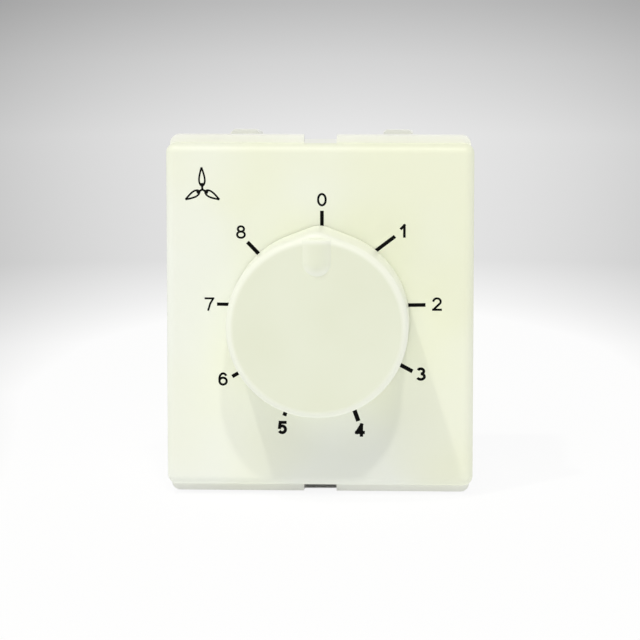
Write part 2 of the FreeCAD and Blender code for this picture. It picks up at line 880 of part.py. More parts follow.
def make_contact_tracks():
    # The common ring, then the arcs that put each capacitor in circuit, then full speed
    served = [
        [(0, POSITIONS)],
        [(1, 1), (3, 3), (5, 5), (7, 7)],
        [(2, 3), (6, 7)],
        [(4, 7)],
        [(8, 8)],
    ]
    arcs = []
    for ring, spans in enumerate(served):
        for first, last in spans:
            arcs.append(make_track(f"track_{ring}_{first}", ring, first, last))
    return group("contact_tracks", arcs)


def capacitor_rows():
    # Lower edge, thickness and height of each capacitor, stacked down from the board's upper edge
    large_low = board_height / 2 - c.capacitor_edge_gap - c.large_capacitor_thickness
    medium_low = large_low - c.capacitor_gap - c.medium_capacitor_thickness
    small_low = medium_low - c.capacitor_gap - c.small_capacitor_thickness
    return {
        "small": (small_low, c.small_capacitor_thickness, c.small_capacitor_height),
        "medium": (medium_low, c.medium_capacitor_thickness, c.medium_capacitor_height),
        "large": (large_low, c.large_capacitor_thickness, c.large_capacitor_height),
    }


def make_capacitor(size, low, thickness, height):
    body = new_body("capacitor_" + size)
    outline = front_sketch(body, size + "_can", board_back)
    draw_rectangle(outline, -capacitor_length / 2, low, capacitor_length / 2, low + thickness)
    pad(body, outline, height, reverse=True)
    fillet(body, size + "_can_edges", c.capacitor_edge_radius,
           lambda edge: not lies_at_depth(edge, board_back))
    leads = front_sketch(body, size + "_leads", board_back)
    for side in (-1, 1):
        draw_circle(leads, lead_across * side, low + thickness / 2, c.lead_radius)
    pad(body, leads, c.board_thickness + c.lead_stub)
    return body


def resistor_places():
    return {"small": -c.resistor_pitch, "medium": as_size(0.0), "large": c.resistor_pitch}


def make_resistor(size, across):
    # Stands on the board, with one lead bent over in a hairpin
    label = "resistor_" + size
    base = board_back + c.resistor_standoff
    top = base + c.resistor_length
    stub = c.board_thickness + c.lead_stub
    far_level = resistor_level + c.resistor_hairpin_radius * 2
    lead_start = board_back - stub
    turn_start = top + c.resistor_standoff
    cap = c.resistor_cap_length
    pieces = [
        rod(label + "_core", c.resistor_radius, c.resistor_length, (across, base, resistor_level)),
        rod(label + "_near_cap", c.resistor_cap_radius, cap, (across, base, resistor_level)),
        rod(label + "_far_cap", c.resistor_cap_radius, cap, (across, top - cap, resistor_level)),
        rod(label + "_lead", c.resistor_lead_radius, turn_start - lead_start, (across, lead_start, resistor_level)),
        rod(label + "_return", c.resistor_lead_radius, turn_start - lead_start, (across, lead_start, far_level)),
    ]
    bend = doc.addObject("Part::Torus", label + "_bend")
    bind(bend, "Radius1", c.resistor_hairpin_radius)
    bind(bend, "Radius2", c.resistor_lead_radius)
    bend.Angle3 = 180.0
    turned = Rotation(-ALONG_Z, ALONG_Y, ALONG_X, "XYZ")
    set_place(bend, across, turn_start, resistor_level + c.resistor_hairpin_radius, turned)
    pieces.append(bend)
    return fuse(label, pieces)


def make_strap(name, side):
    middle = c.terminal_pitch / 2 * side
    end = terminal_front + c.strap_seat
    bar = block(name + "_strap_bar", (c.strap_width, end - board_back, c.strap_thickness),
                (middle - c.strap_width / 2, board_back, strap_low))
    tail = block(name + "_strap_tail",
                 (c.strap_tail_width, c.board_thickness + c.strap_tail_length, c.strap_thickness),
                 (middle - c.strap_tail_width / 2, board_front - c.strap_tail_length, strap_low))
    return fuse(name + "_strap", [bar, tail])


def make_terminal(name, side):
    body = new_body(name + "_terminal")
    middle = c.terminal_pitch / 2 * side
    outline = front_sketch(body, name + "_block", terminal_front)
    draw_rectangle(outline, middle - c.terminal_width / 2, terminal_low,
                   middle + c.terminal_width / 2, terminal_low + c.terminal_height)
    pad(body, outline, c.terminal_length, reverse=True)
    chamfer(body, name + "_block_edges", c.terminal_edge,
            lambda edge: runs_along(edge, ALONG_Y))
    bore = front_sketch(body, name + "_wire_bore", terminal_front)
    draw_circle(bore, middle, wire_level, c.wire_radius)
    pocket(body, bore, c.terminal_length)
    tapped = plan_sketch(body, name + "_tapped_hole", terminal_low)
    draw_circle(tapped, middle, terminal_middle, c.clamp_radius + c.screw_clearance)
    pocket(body, tapped, wire_level - terminal_low, reverse=True)
    slot = front_sketch(body, name + "_strap_slot", terminal_front)
    half = c.strap_width / 2 + c.strap_clearance
    draw_rectangle(slot, middle - half, strap_low - c.strap_clearance,
                   middle + half, strap_low + c.strap_thickness + c.strap_clearance)
    pocket(body, slot, c.strap_seat)
    return body


def make_clamp_screw(name, side):
    # Backed off so that the wire bore is free; it travels upward to clamp
    label = name + "_screw"
    middle = c.terminal_pitch / 2 * side
    tip = wire_level - c.wire_radius - c.clamp_tip_gap
    under_head = terminal_low - c.clamp_travel
    head_end = under_head - c.clamp_head_height
    shank = rod(label + "_shank", c.clamp_radius, tip - under_head, (middle, terminal_middle, under_head), UPWARD)
    head = rod(label + "_head", c.clamp_head_radius, c.clamp_head_height,
               (middle, terminal_middle, head_end), UPWARD)
    slot = block(label + "_slot", (c.clamp_head_radius * 2, c.clamp_slot_width, c.clamp_slot_depth),
                 (middle - c.clamp_head_radius, terminal_middle - c.clamp_slot_width / 2, head_end))
    return cut(label, fuse(label + "_blank", [shank, head]), slot)


def make_board_screws():
    screws = []
    for number, (side, level) in enumerate(corners, start=1):
        label = f"board_screw_{number}"
        across = screw_across * side
        height = screw_level * level
        head_front = board_front - c.board_screw_head_height
        shank = rod(label + "_shank", c.board_screw_radius, c.board_screw_length, (across, board_front, height))
        head = doc.addObject("Part::Cone", label + "_head")
        bind(head, "Radius1", c.board_screw_crown_radius)
        bind(head, "Radius2", c.board_screw_head_radius)
        bind(head, "Height", c.board_screw_head_height)
        set_place(head, across, head_front, height, BACKWARD)
        slot = block(label + "_slot",
                     (c.board_screw_head_radius * 2, c.board_screw_slot, c.board_screw_slot),
                     (across - c.board_screw_head_radius, head_front, height - c.board_screw_slot / 2))
        screws.append(cut(label, fuse(label + "_blank", [shank, head]), slot))
    return group("board_screws", screws)


def make_all():
    pieces = [
        make_front_plate(),
        make_housing(),
        make_knob(),
        make_rotor(),
        make_wiper(),
        make_detent_spring(),
        make_circuit_board(),
        make_contact_tracks(),
        make_board_screws(),
    ]
    for size, row in capacitor_rows().items():
        pieces.append(make_capacitor(size, *row))
    for size, across in resistor_places().items():
        pieces.append(make_resistor(size, across))
    for name, side in sides.items():
        pieces.append(make_strap(name, side))
        pieces.append(make_terminal(name, side))
        pieces.append(make_clamp_screw(name, side))
    return pieces


pieces = make_all()
doc.recompute()

for item in doc.Objects:
    if "Invalid" in item.State or "Error" in item.State:
        raise RuntimeError(f"{item.Name} failed: {item.State}")
for piece in pieces:
    if piece.Shape.isNull() or not piece.Shape.isValid():
        raise RuntimeError(f"{piece.Label} has no valid shape")

os.makedirs("parts", exist_ok=True)
for piece in pieces:
    piece.Shape.exportStep(f"parts/{piece.Label}.step")
    print(piece.Label, len(piece.Shape.Solids), "solids", round(piece.Shape.Volume, 2), "mm3")
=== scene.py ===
import json
import math

import bmesh
import bpy
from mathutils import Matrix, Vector
from mathutils.geometry import delaunay_2d_cdt


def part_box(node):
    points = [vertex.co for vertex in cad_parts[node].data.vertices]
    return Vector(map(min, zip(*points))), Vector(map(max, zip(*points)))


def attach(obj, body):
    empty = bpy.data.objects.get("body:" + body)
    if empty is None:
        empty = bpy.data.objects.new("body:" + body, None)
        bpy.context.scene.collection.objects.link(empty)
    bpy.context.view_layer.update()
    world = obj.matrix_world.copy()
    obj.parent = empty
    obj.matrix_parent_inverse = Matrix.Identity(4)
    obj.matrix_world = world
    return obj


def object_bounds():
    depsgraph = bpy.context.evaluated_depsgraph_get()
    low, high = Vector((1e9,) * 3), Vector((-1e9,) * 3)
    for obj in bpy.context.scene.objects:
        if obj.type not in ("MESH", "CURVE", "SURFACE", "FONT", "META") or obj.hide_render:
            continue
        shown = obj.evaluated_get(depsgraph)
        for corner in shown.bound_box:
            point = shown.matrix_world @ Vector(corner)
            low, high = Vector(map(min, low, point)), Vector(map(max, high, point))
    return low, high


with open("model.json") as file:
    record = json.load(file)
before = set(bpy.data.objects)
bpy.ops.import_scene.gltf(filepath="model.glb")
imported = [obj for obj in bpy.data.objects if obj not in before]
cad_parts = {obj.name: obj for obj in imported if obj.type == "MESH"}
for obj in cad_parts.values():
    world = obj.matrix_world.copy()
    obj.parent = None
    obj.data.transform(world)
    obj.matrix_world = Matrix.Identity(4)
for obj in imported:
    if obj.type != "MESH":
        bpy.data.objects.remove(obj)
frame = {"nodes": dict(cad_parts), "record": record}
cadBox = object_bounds()
nodes = frame["nodes"]
mm = 0.001
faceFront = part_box("front_plate")[0].y   # the printed side of the face plate
floorLevel = cadBox[0][2]
joints = {joint["name"]: joint for joint in frame["record"]["behaviour"]["joints"]}
knobAxis = Vector(joints["knob_turn"]["pos_m"])
print("frame loaded,", len(nodes), "nodes")


# camera, at the photo's angle
cameraSetup = {
    "azimuth": 2.4,                   # degrees towards the right
    "elevation": 7.5,
    "distance": 500 * mm,             # from the middle of the face
    "lens": 192.2,                    # on a 36 mm sensor
    "aim": (0.06 * mm, -0.58 * mm),   # x and z of the picture's middle on the face
    "clipStart": 10 * mm,
}


def placeCamera(setup):
    side = math.radians(setup["azimuth"])
    rise = math.radians(setup["elevation"])
    across, up = setup["aim"]
    target = Vector((across, faceFront, up))
    away = Vector((math.sin(side) * math.cos(rise), -math.cos(side) * math.cos(rise), math.sin(rise)))
    lens = bpy.data.cameras.new("photoCamera")
    lens.lens = setup["lens"]
    lens.clip_start = setup["clipStart"]
    camera = bpy.data.objects.new("photoCamera", lens)
    camera.location = target + away * setup["distance"]
    camera.rotation_euler = (-away).to_track_quat("-Z", "Y").to_euler()
    bpy.context.scene.collection.objects.link(camera)
    bpy.context.scene.camera = camera


placeCamera(cameraSetup)
print("camera placed")


# shared bits for the finishes
noiseDetail = {"mottle": 2.0, "rub": 4.0, "grain": 2.0, "stain": 4.0, "lines": 3.0}   # how fine each is
plasticIor = 1.5


def screenColour(red, green, blue):   # 0 to 255 as seen on screen, to the linear value a shader takes
    def linear(part):
        part = part / 255
        return part / 12.92 if part <= 0.04045 else ((part + 0.055) / 1.055) ** 2.4
    return (linear(red), linear(green), linear(blue), 1.0)


def startFinish(name):
    finish = bpy.data.materials.new(name)
    finish.use_nodes = True
    tree = finish.node_tree
    tree.nodes.clear()
    shader = tree.nodes.new("ShaderNodeBsdfPrincipled")
    output = tree.nodes.new("ShaderNodeOutputMaterial")
    tree.links.new(shader.outputs["BSDF"], output.inputs["Surface"])
    place = tree.nodes.new("ShaderNodeTexCoord").outputs["Object"]
    return finish, tree, shader, place


def calc(tree, operation, first, second=0.0):   # one sum on sockets or plain numbers
    node = tree.nodes.new("ShaderNodeMath")
    node.operation = operation
    for value, socket in zip((first, second), node.inputs):
        if isinstance(value, float):
            socket.default_value = value
        else:
            tree.links.new(value, socket)
    return node.outputs["Value"]


def distance(tree, across, along):   # of a spot from the middle, by its two parts
    squares = [calc(tree, "MULTIPLY", part, part) for part in (across, along)]
    return calc(tree, "SQRT", calc(tree, "ADD", *squares))


def lean(tree, place, slope):   # grows steadily in one direction, by slope for each metre
    node = tree.nodes.new("ShaderNodeVectorMath")
    node.operation = "DOT_PRODUCT"
    node.inputs[1].default_value = slope
    tree.links.new(place, node.inputs[0])
    return node.outputs["Value"]


def rimHighlightMask(tree, place, look):   # 0 on the knob's textured face, 1 on its rim and wall, where a painted highlight goes; the rib's sides get part of it
    bearing = tree.nodes.new("ShaderNodeSeparateXYZ")
    tree.links.new(tree.nodes.new("ShaderNodeTexCoord").outputs["Normal"], bearing.inputs["Vector"])
    slope = spread(tree, bearing.outputs["Y"], 0.0, 1.0, *look["ribHighlightSlope"])
    spot = tree.nodes.new("ShaderNodeSeparateXYZ")
    tree.links.new(place, spot.inputs["Vector"])
    up = calc(tree, "SUBTRACT", spot.outputs["Z"], knobAxis.z)
    radius = distance(tree, spot.outputs["X"], up)
    # the rib's sides keep the full painted highlight up to the foot, less past it
    footHighlight = spread(tree, radius, 1.0, look["ribHighlightShare"], *look["ribFoot"])
    rim = spread(tree, radius, 0.0, 1.0, *look["rim"])
    return calc(tree, "MAXIMUM", calc(tree, "MULTIPLY", slope, footHighlight), rim)


def blotches(tree, place, size, detail, stretch=(1, 1, 1)):   # size is how wide one blotch is
    mapping = tree.nodes.new("ShaderNodeMapping")
    mapping.inputs["Scale"].default_value = [1 / (size * part) for part in stretch]
    tree.links.new(place, mapping.inputs["Vector"])
    noise = tree.nodes.new("ShaderNodeTexNoise")
    noise.inputs["Scale"].default_value = 1.0
    noise.inputs["Detail"].default_value = detail
    tree.links.new(mapping.outputs["Vector"], noise.inputs["Vector"])
    return noise.outputs["Fac"]


def spread(tree, value, low, high, fromLow=0.3, fromHigh=0.7):
    remap = tree.nodes.new("ShaderNodeMapRange")
    remap.inputs["From Min"].default_value = fromLow
    remap.inputs["From Max"].default_value = fromHigh
    remap.inputs["To Min"].default_value = low
    remap.inputs["To Max"].default_value = high
    tree.links.new(value, remap.inputs["Value"])
    return remap.outputs["Result"]


def tintBetween(tree, value, first, second, start=0.35, end=0.65):
    ramp = tree.nodes.new("ShaderNodeValToRGB")
    ramp.color_ramp.elements[0].position = start
    ramp.color_ramp.elements[0].color = screenColour(*first)
    ramp.color_ramp.elements[1].position = end
    ramp.color_ramp.elements[1].color = screenColour(*second)
    tree.links.new(value, ramp.inputs["Fac"])
    return ramp.outputs["Color"]


def raiseSurface(tree, shader, value, depth):
    bump = tree.nodes.new("ShaderNodeBump")
    bump.inputs["Strength"].default_value = 1.0
    bump.inputs["Distance"].default_value = depth
    tree.links.new(value, bump.inputs["Height"])
    tree.links.new(bump.outputs["Normal"], shader.inputs["Normal"])


def mouldedPlastic(name, look):
    finish, tree, shader, place = startFinish(name)
    mottle = blotches(tree, place, look["mottle"], noiseDetail["mottle"])
    # the tone turns yellower along a slope across the piece
    if "yellowerUpRight" in look:
        mottle = calc(tree, "ADD", mottle, lean(tree, place, look["yellowerUpRight"]))
    colour = tintBetween(tree, mottle, look["tint"], look["shade"])
    # painted highlight: the knob's rim, wall and rib sides get a lighter tint than the face, standing in
    # for the light they catch from below and the sides
    if "paintedRimHighlight" in look:
        mix = tree.nodes.new("ShaderNodeMix")
        mix.data_type = "RGBA"
        tree.links.new(rimHighlightMask(tree, place, look), mix.inputs["Factor"])
        tree.links.new(colour, mix.inputs["A"])
        mix.inputs["B"].default_value = screenColour(*look["paintedRimHighlight"])
        colour = mix.outputs["Result"]
    tree.links.new(colour, shader.inputs["Base Color"])
    rub = blotches(tree, place, look["rub"], noiseDetail["rub"])
    tree.links.new(spread(tree, rub, *look["roughness"]), shader.inputs["Roughness"])
    grain = blotches(tree, place, look["grain"], noiseDetail["grain"])
    raiseSurface(tree, shader, grain, look["grainDepth"])
    shader.inputs["IOR"].default_value = plasticIor
    shader.inputs["Specular IOR Level"].default_value = look["gloss"]
    return finish


def workedMetal(name, look):   # rolled, turned or plated, with marks along one direction
    finish, tree, shader, place = startFinish(name)
    stain = blotches(tree, place, look["stain"], noiseDetail["stain"])
    tree.links.new(tintBetween(tree, stain, look["tint"], look["shade"]), shader.inputs["Base Color"])
    lines = blotches(tree, place, look["lines"], noiseDetail["lines"], look["along"])
    tree.links.new(spread(tree, lines, *look["roughness"]), shader.inputs["Roughness"])
    raiseSurface(tree, shader, lines, look["lineDepth"])
    shader.inputs["Metallic"].default_value = 1.0
    return finish


def dressNode(node, finish):
    mesh = nodes[node].data
    mesh.materials.clear()
    mesh.materials.append(finish)


# face plate, knob and housing
facePlastic = {
    "tint": (246, 249, 238),
    "shade": (243, 246, 221),
    "yellowerUpRight": (4, 0, 4),        # the tone turns yellower towards the upper right
    "mottle": 26 * mm,
    "rub": 3 * mm,
    "roughness": (0.36, 0.46),
    "grain": 0.22 * mm,
    "grainDepth": 0.004 * mm,
    "gloss": 0.4,
}
knobPlastic = {
    "tint": (237, 241, 220),
    "shade": (234, 238, 215),
    # painted highlight: the rim, wall and rib sides are tinted lighter than the face
    "paintedRimHighlight": (248, 251, 235),
    "rim": (12.0 * mm, 12.5 * mm),     # the radius where the face runs into the rim
    "ribHighlightSlope": (-0.99, -0.87),        # Y part of the direction that the rib's sides face, where they get the painted highlight
    "ribFoot": (8.3 * mm, 9.3 * mm),   # the radius where its foot ends
    "ribHighlightShare": 0.35,                  # how much of that painted highlight the sides past the foot have
    "mottle": 14 * mm,
    "rub": 2 * mm,
    "roughness": (0.33, 0.44),
    "grain": 0.2 * mm,
    "grainDepth": 0.003 * mm,
    "gloss": 0.42,
}
housingPlastic = {
    "tint": (251, 252, 246),
    "shade": (247, 248, 240),
    "mottle": 18 * mm,
    "rub": 4 * mm,
    "roughness": (0.42, 0.55),
    "grain": 0.3 * mm,
    "grainDepth": 0.006 * mm,
    "gloss": 0.36,
}
dressNode("front_plate", mouldedPlastic("facePlastic", facePlastic))
dressNode("knob", mouldedPlastic("knobPlastic", knobPlastic))
dressNode("housing", mouldedPlastic("housingPlastic", housingPlastic))
print("mouldings finished")


# works inside the housing
rotorNylon = {
    "tint": (236, 232, 214),
    "shade": (226, 220, 198),
    "mottle": 5 * mm,
    "rub": 1.5 * mm,
    "roughness": (0.4, 0.55),
    "grain": 0.15 * mm,
    "grainDepth": 0.004 * mm,
    "gloss": 0.4,
}
capacitorResin = {
    "tint": (226, 182, 62),
    "shade": (212, 164, 48),
    "mottle": 6 * mm,
    "rub": 2 * mm,
    "roughness": (0.3, 0.42),
    "grain": 0.4 * mm,
    "grainDepth": 0.01 * mm,
    "gloss": 0.5,
}
resistorLacquer = {
    "tint": (206, 178, 132),
    "shade": (190, 158, 110),
    "mottle": 1.2 * mm,
    "rub": 0.6 * mm,
    "roughness": (0.22, 0.34),
    "grain": 0.1 * mm,
    "grainDepth": 0.004 * mm,
    "gloss": 0.5,
}
boardLaminate = {
    "tint": (176, 128, 72),
    "shade": (150, 104, 56),
    "mottle": 1.6 * mm,
    "rub": 1.2 * mm,
    "roughness": (0.45, 0.62),
    "grain": 0.12 * mm,
    "grainDepth": 0.008 * mm,
    "gloss": 0.4,
}
contactBrass = {
    "tint": (222, 184, 106),
    "shade": (200, 158, 82),
    "stain": 2 * mm,
    "lines": 0.06 * mm,
    "along": (14, 1, 1),
    "roughness": (0.2, 0.36),
    "lineDepth": 0.002 * mm,
}
springSteel = {
    "tint": (196, 197, 200),
    "shade": (172, 174, 178),
    "stain": 3 * mm,
    "lines": 0.05 * mm,
    "along": (18, 1, 1),
    "roughness": (0.22, 0.38),
    "lineDepth": 0.002 * mm,
}
screwSteel = {
    "tint": (206, 207, 210),
    "shade": (182, 184, 190),
    "stain": 1.2 * mm,
    "lines": 0.08 * mm,
    "along": (1, 1, 1),
    "roughness": (0.24, 0.4),
    "lineDepth": 0.003 * mm,
}
terminalBrass = {
    "tint": (216, 178, 100),
    "shade": (190, 148, 74),
    "stain": 2.5 * mm,
    "lines": 0.08 * mm,
    "along": (1, 16, 1),
    "roughness": (0.24, 0.4),
    "lineDepth": 0.004 * mm,
}
dressNode("rotor", mouldedPlastic("rotorNylon", rotorNylon))
resinFinish = mouldedPlastic("capacitorResin", capacitorResin)
lacquerFinish = mouldedPlastic("resistorLacquer", resistorLacquer)
for size in ("small", "medium", "large"):
    dressNode("capacitor_" + size, resinFinish)
    dressNode("resistor_" + size, lacquerFinish)
dressNode("circuit_board", mouldedPlastic("boardLaminate", boardLaminate))
brassFinish = workedMetal("contactBrass", contactBrass)
dressNode("wiper", brassFinish)
dressNode("contact_tracks", brassFinish)
dressNode("detent_spring", workedMetal("springSteel", springSteel))
screwFinish = workedMetal("screwSteel", screwSteel)
dressNode("board_screws", screwFinish)
terminalFinish = workedMetal("terminalBrass", terminalBrass)
for wire in ("line", "load"):
    dressNode(wire + "_strap", terminalFinish)
    dressNode(wire + "_terminal", terminalFinish)
    dressNode(wire + "_screw", screwFinish)
print("inner works finished")


# print on the face
dialInk = {
    "tint": (3, 3, 3),
    "shade": (12, 12, 11),
    "mottle": 0.8 * mm,
    "rub": 0.5 * mm,
    "roughness": (0.5, 0.65),
    "grain": 0.08 * mm,
    "grainDepth": 0.002 * mm,
    "gloss": 0.06,
}
inkFinish = mouldedPlastic("dialInk", dialInk)
dialPrint = {
    "film": 0.012 * mm,            # thickness of the ink
    "centre": (0.09, -0.6),        # in millimetres on the face, as all of the print
    "digitHeight": 1.98,
    "digitHalf": 0.715,            # half of a digit's width
    "pen": 0.158,                  # stroke of a digit, as a share of its height
    "tickWidth": 0.54,
    "arcSteps": 18,                # pieces of one arc
    "tickStart": 12.9,             # all ticks begin under the knob
    "endShare": 0.5,               # how far a stroke goes on past its ends, as a share of its width
    "endsMeet": 0.01,              # ends nearer than this share of the width close the stroke
    "sharpest": 0.5,               # keeps the corner of a sharp bend short
    "weld": 1e-4,                  # points nearer than this are one
    # digit: (its angle, its radius, stroke weight,
    #         tick's angle under the knob, angle at its end, radius of its end, tick weight)
    "marks": {
        "0": (0.8, 17.7, 1.0, 1.1, 0.9, 16.08, 1.0),
        "1": (42.6, 17.9, 1.2, 38.2, 41.4, 16.5, 1.0),
        "2": (81.8, 17.25, 1.0, 79.8, 81.4, 15.57, 1.0),
        "3": (118.1, 16.74, 1.3, 119.1, 119.0, 15.47, 1.1),
        "4": (160.2, 17.27, 1.55, 159.2, 159.4, 15.93, 1.2),
        "5": (199.3, 16.9, 1.45, 200.6, 200.4, 15.15, 1.1),
        "6": (238.4, 16.78, 1.05, 236.4, 236.9, 15.42, 1.0),
        "7": (278.0, 16.39, 0.9, 280.1, 278.6, 15.3, 0.9),
        "8": (318.1, 17.34, 0.95, 317.3, 317.1, 15.62, 1.05),
    },
}

# pen strokes of the digits in a box from -1 to 1 across and 0 to 1 up: a pair is a point, and six
# numbers are an arc (middle across, middle up, half width, half height, from angle, to angle)
digitStrokes = {
    "0": [[(0, 0.5, 1, 0.5, 0, 360)]],
    "1": [[(0.3, 0), (0.3, 1)], [(0.3, 1), (-0.55, 0.72)]],
    "2": [[(0, 0.72, 0.95, 0.28, 165, -35), (-0.85, 0.03)], [(-1, 0), (1, 0)]],
    "3": [[(-0.05, 0.76, 0.88, 0.24, 155, -90)], [(-0.05, 0.26, 1.05, 0.26, 90, -155)]],
    "4": [[(0.45, 0), (0.45, 1)], [(-1, 0.26), (1, 0.26)], [(0.45, 1), (-1, 0.26)]],
    "5": [[(-0.6, 1), (0.85, 1)], [(-0.62, 1), (-0.82, 0.5)], [(-0.02, 0.325, 1, 0.325, 146, -150)]],
    "6": [[(0.03, 0.31, 0.97, 0.31, 0, 360)], [(0.05, 0.5, 1.0, 0.5, 195, 35)]],
    "7": [[(-1, 1), (1, 1)], [(0.95, 0.98), (0.2, 0.55), (-0.3, 0)]],
    "8": [[(0, 0.77, 0.8, 0.23, 0, 360)], [(0, 0.27, 1, 0.27, 0, 360)]],
}


def clockwise(angle):   # degrees from the top, to a direction in x and z on the face
    turn = math.radians(angle)
    return Vector((math.sin(turn), math.cos(turn)))


def onDial(angle, radius):
    return Vector(dialPrint["centre"]) + clockwise(angle) * radius


def strokePath(stroke):
    path = []
    for item in stroke:
        if len(item) == 2:
            path.append(Vector(item))
            continue
        across, up, halfWide, halfHigh, start, end = item
        for step in range(dialPrint["arcSteps"] + 1):
            turn = math.radians(start + (end - start) * step / dialPrint["arcSteps"])
            path.append(Vector((across + halfWide * math.cos(turn), up + halfHigh * math.sin(turn))))
    return path


def penCells(path, width, endShare=0.0):   # four-cornered cells of a stroke
    closed = (path[0] - path[-1]).length < width * dialPrint["endsMeet"]
    heads = [(second - first).normalized() for first, second in zip(path, path[1:])]
    if not closed:
        start = path[0] - heads[0] * width * endShare
        end = path[-1] + heads[-1] * width * endShare
        path = [start] + path[1:-1] + [end]
    edges = []
    for index, point in enumerate(path):
        before = heads[index - 1] if index or closed else heads[0]
        after = heads[index % len(heads)] if index < len(heads) or closed else heads[-1]
        ahead = (before + after).normalized()
        reach = width / 2 / max(ahead.dot(after), dialPrint["sharpest"])
        side = Vector((-ahead.y, ahead.x)) * reach
        edges.append((point + side, point - side))
    return [(left, right, nextRight, nextLeft)
            for (left, right), (nextLeft, nextRight) in zip(edges, edges[1:])]


def printInk(name, cells):   # cells may overlap: the print is their outline together
    corners = []
    loops = []
    for cell in cells:
        loop = list(range(len(corners), len(corners) + len(cell)))
        corners += cell
        area = sum(corners[a].cross(corners[b]) for a, b in zip(loop, loop[1:] + loop[:1]))
        loops.append(loop if area > 0 else loop[::-1])
    insideOnly = 1   # the kind of result that has no triangles around the cells
    points, _, faces, _, _, sources = delaunay_2d_cdt(corners, [], loops, insideOnly, dialPrint["weld"])
    inked = [face for face, source in zip(faces, sources) if source]   # a face of no cell is a hole
    sheet = bmesh.new()
    spots = [sheet.verts.new((point.x * mm, faceFront, point.y * mm)) for point in points]
    flat = [sheet.faces.new([spots[corner] for corner in face]) for face in inked]
    raised = bmesh.ops.extrude_face_region(sheet, geom=flat)
    top = [item for item in raised["geom"] if isinstance(item, bmesh.types.BMVert)]
    bmesh.ops.translate(sheet, verts=top, vec=(0, -dialPrint["film"], 0))
    loose = [spot for spot in sheet.verts if not spot.link_faces]
    bmesh.ops.delete(sheet, geom=loose, context="VERTS")
    bmesh.ops.recalc_face_normals(sheet, faces=sheet.faces)
    mesh = bpy.data.meshes.new(name)
    sheet.to_mesh(mesh)
    sheet.free()
    mesh.materials.append(inkFinish)
    piece = bpy.data.objects.new(name, mesh)
    bpy.context.scene.collection.objects.link(piece)
    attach(piece, "base")


def printDigit(digit, angle, radius, weight):
    height = dialPrint["digitHeight"]
    pen = dialPrint["pen"] * height * weight
    half = dialPrint["digitHalf"] - pen / 2
    foot = onDial(angle, radius) - Vector((0, height / 2 - pen / 2))
    cells = []
    for stroke in digitStrokes[digit]:
        path = [foot + Vector((point.x * half, point.y * (height - pen))) for point in strokePath(stroke)]
        cells += penCells(path, pen, dialPrint["endShare"] if len(stroke) > 1 else 0.0)
    printInk("digit_" + digit, cells)


for digit, (angle, radius, weight, tickAngle, endAngle, tickEnd, tickWeight) in dialPrint["marks"].items():
    printDigit(digit, angle, radius, weight)
    tick = [onDial(tickAngle, dialPrint["tickStart"]), onDial(endAngle, tickEnd)]
    printInk("tick_" + digit, penCells(tick, dialPrint["tickWidth"] * tickWeight))
print("dial printed,", len(dialPrint["marks"]), "positions")


# fan sign above the dial, three outlined blades on a hub, in millimetres
fanSign = {
    "hub": (-17.12, 18.53),
    "bladeStart": 0.5,
    "bladeHalf": 0.42,            # half of the widest part, at the middle of the line
    "fullness": 0.6,              # the less, the nearer the widest part is to the hub
    "line": 0.26,
    "stem": 0.3,
    "root": (0.45, 0.4),          # the solid foot of a blade, its length and width
    "blades": {-2: 3.25, 120.5: 2.9, 239: 2.88},   # angle clockwise from the top, and reach
    "steps": 14,
    "crowding": 1.5,              # the more, the closer the steps are near the hub
}


def bladeSide(along, reach, side):
    out = Vector((along.y, -along.x)) * side * fanSign["bladeHalf"]
    length = reach - fanSign["bladeStart"]
    path = []
    for step in range(fanSign["steps"] + 1):
        share = (step / fanSign["steps"]) ** fanSign["crowding"]
        bulge = math.sin(math.pi * share ** fanSign["fullness"])
        middle = Vector(fanSign["hub"]) + along * (fanSign["bladeStart"] + length * share)
        path.append(middle + out * bulge)
    return path


def printBlade(number, angle, reach):
    along = clockwise(angle)
    cells = []
    for side in (1, -1):
        cells += penCells(bladeSide(along, reach, side), fanSign["line"])
    hub = Vector(fanSign["hub"])
    stemEnd = hub + along * fanSign["bladeStart"]
    cells += penCells([hub, stemEnd], fanSign["stem"], dialPrint["endShare"])
    rootLength, rootWidth = fanSign["root"]
    cells += penCells([stemEnd, stemEnd + along * rootLength], rootWidth)
    printInk("fan_blade_" + str(number), cells)


for number, (angle, reach) in enumerate(fanSign["blades"].items(), start=1):
    printBlade(number, angle, reach)
print("fan sign printed")


# floor and light
floorLook = {
    "reach": 40.0,               # metres from the middle to the edge
    "bounce": 0.95,              # how pale it is to the object
    "tableGlow": 1.0,            # part of its light on the object that is its own, as on a light table
    "glowEdge": 8 * mm,          # how softly that light sets in around the housing
    "shadowShare": 0.1,          # part of the floor's brightness that takes the object's shadow
    "underShare": 1.0,           # the same right under the housing
    "underFront": 2.3 * mm,      # where that part begins, behind the seat
    "underEdge": 0.8 * mm,       # how softly the one runs into the other
    "nearness": 0.5,             # metres, sets how fast the tone runs off into the distance
    "sideFade": 25.0,            # how fast it darkens to either side
    "sideMost": 0.3,             # and by which share at most
    "sideMiddle": 0.0065,        # the lightest line lies a little to the right
    # how far off, as a share, and the tone there; one above 255 stays white further to the sides
    "tones": ((0.18, 284), (0.25, 272), (0.31, 253), (0.38, 233),
              (0.58, 236), (0.7, 217), (0.79, 194), (0.97, 172)),
}


